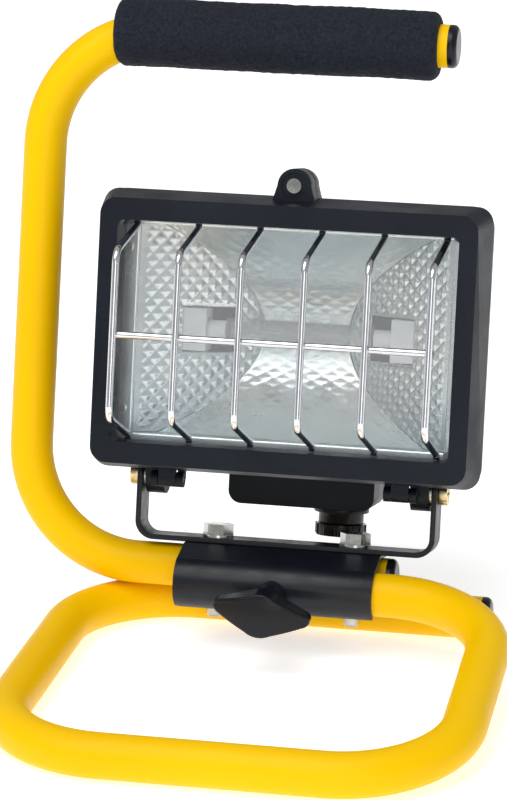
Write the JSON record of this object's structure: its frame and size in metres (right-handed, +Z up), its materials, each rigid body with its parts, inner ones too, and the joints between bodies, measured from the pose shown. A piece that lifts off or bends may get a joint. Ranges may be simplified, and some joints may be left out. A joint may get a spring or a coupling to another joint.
{
  "type": "portable halogen work light",
  "caption": "Portable halogen work light: tilting floodlight head with wire guard on a folding bent-tube stand with a foam-gripped carrying handle.",
  "frame": {"origin": "centre of the bounding box, at floor level", "axes": "+Z up, -Y is where the lamp faces, +X along the carrying handle"},
  "size_m": [0.1995, 0.2218, 0.2301],
  "materials": {
    "yellow_paint": "satin",
    "black_paint": "satin",
    "black_casting": "textured paint",
    "black_plastic": "satin",
    "foam": "matte foam",
    "zinc_steel": "zinc plated",
    "brass": "plated",
    "chrome_wire": "polished",
    "clear_glass": "clear",
    "bright_sheet": "hammered",
    "ceramic": "matte",
    "seal_rubber": "matte",
    "tungsten": "dull",
    "sleeving": "glass fibre"
  },
  "bodies": {
    "base": {"base_tube": "yellow_paint", "base_end_cap": "black_plastic"},
    "stand": {"handle_tube": "yellow_paint", "handle_grip": "foam", "handle_end_cap": "black_plastic", "lower_end_cap": "black_plastic", "clamp_saddle": "black_paint", "clamp_jaw": "black_paint", "clamp_bolts": "zinc_steel", "clamp_washers": "zinc_steel", "knob_boss": "black_paint", "yoke": "black_paint"},
    "clamp_screw": {"knob_screw": "zinc_steel"},
    "knob": {"knob": "black_plastic"},
    "front": {"front_frame": "black_casting", "glass": "clear_glass", "glass_gasket": "seal_rubber", "glass_clips": "zinc_steel", "clip_screws": "zinc_steel", "guard": "chrome_wire"},
    "closing_screw": {"closing_screw": "zinc_steel"},
    "left_contact": {"left_contact": "brass", "left_spring": "zinc_steel"},
    "right_contact": {"right_contact": "brass", "right_spring": "zinc_steel"},
    "head": {"rear_housing": "black_casting", "junction_box": "black_casting", "junction_cover": "black_casting", "gland_body": "black_plastic", "gland_nut": "black_plastic", "pivot_washers": "zinc_steel", "hinge_pins": "zinc_steel", "reflector_screws": "zinc_steel", "holder_brackets": "zinc_steel", "bracket_screws": "zinc_steel", "cover_screws": "zinc_steel", "pivot_screws": "brass", "terminal_screws": "brass", "earth_screw": "brass", "lamp_tube": "clear_glass", "reflector_trough": "bright_sheet", "reflector_left_end": "bright_sheet", "reflector_right_end": "bright_sheet", "lampholders": "ceramic", "lamp_ends": "ceramic", "terminal_block": "ceramic", "housing_seal": "seal_rubber", "cover_seal": "seal_rubber", "gland_seal": "seal_rubber", "lamp_filament": "tungsten", "lamp_leads": "sleeving"}
  },
  "joints": [
    {"name": "base_fold", "type": "hinge", "parent": "base", "child": "stand", "pos_m": [0.00755, 0.03008, 0.0243], "axis": [-1, 0, 0], "range_deg": [-60, 0]},
    {"name": "head_tilt", "type": "hinge", "parent": "stand", "child": "head", "pos_m": [0.00755, 0.05462, 0.05694], "axis": [-1, 0, 0], "range_deg": [-40, 30]},
    {"name": "front_frame_hinge", "type": "hinge", "parent": "head", "child": "front", "pos_m": [0.00755, 0.04311, 0.05908], "axis": [1, 0, 0], "range_deg": [0, 75]},
    {"name": "closing_screw_travel", "type": "slide", "parent": "front", "child": "closing_screw", "axis": [0, -0.9763, 0.2164], "range_m": [0, 0.0055]},
    {"name": "clamp_screw_travel", "type": "slide", "parent": "stand", "child": "clamp_screw", "axis": [0, -1, 0], "range_m": [0, 0.001]},
    {"name": "knob_turn", "type": "hinge", "parent": "clamp_screw", "child": "knob", "pos_m": [0.00755, 0.00708, 0.0243], "axis": [0, -1, 0], "range_deg": [0, 360]},
    {"name": "left_contact_spring", "type": "slide", "parent": "head", "child": "left_contact", "axis": [-1, 0, 0], "range_m": [0, 0.002], "stiffness_N_per_m": 1500},
    {"name": "right_contact_spring", "type": "slide", "parent": "head", "child": "right_contact", "axis": [1, 0, 0], "range_m": [0, 0.002], "stiffness_N_per_m": 1500}
  ],
  "couplings": [
    {"joint": "knob_turn", "follows": "clamp_screw_travel", "rad_per_m": 6283.2}
  ]
}
